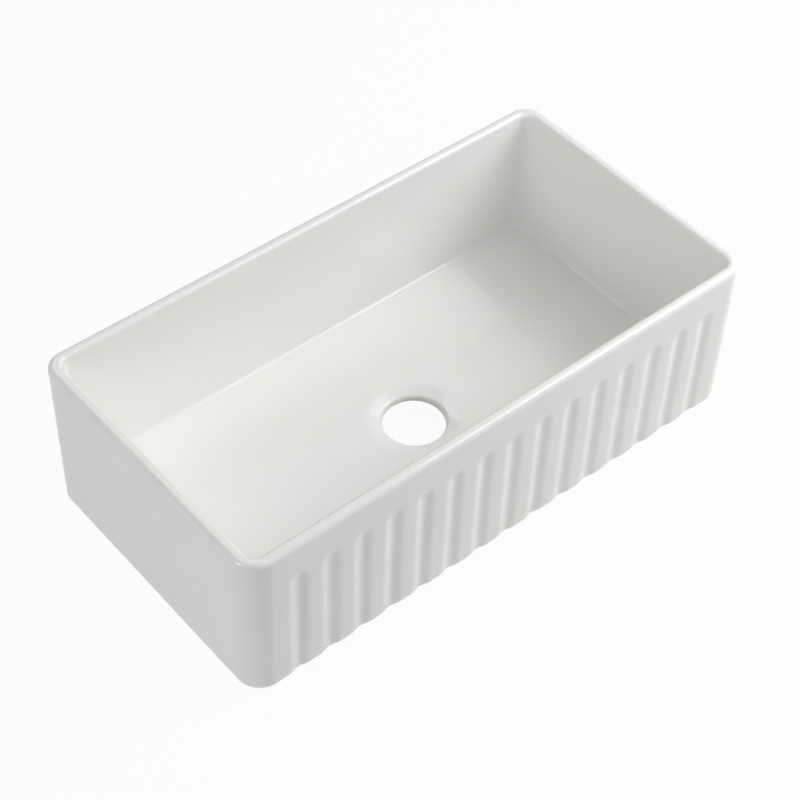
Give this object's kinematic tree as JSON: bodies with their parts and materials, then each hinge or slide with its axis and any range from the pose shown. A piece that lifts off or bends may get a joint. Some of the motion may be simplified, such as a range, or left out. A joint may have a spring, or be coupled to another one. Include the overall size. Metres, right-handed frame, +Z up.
{
  "type": "farmhouse kitchen sink",
  "caption": "Farmhouse sink in white glazed fireclay: one deep rectangular bowl with a rounded rim, a dished drain hole and an apron front of upright hollow flutes.",
  "frame": {"origin": "centre of the underside, on the plane that the perimeter foot rests on", "axes": "+X along the width, to the right of someone facing the apron; +Y from the apron to the back; +Z up. The apron faces -Y."},
  "size_m": [0.838, 0.438, 0.254],
  "materials": {
    "glazed_fireclay": "glossy white fired glaze"
  },
  "bodies": {
    "root": {"sink_body": "glazed_fireclay"}
  },
  "joints": []
}
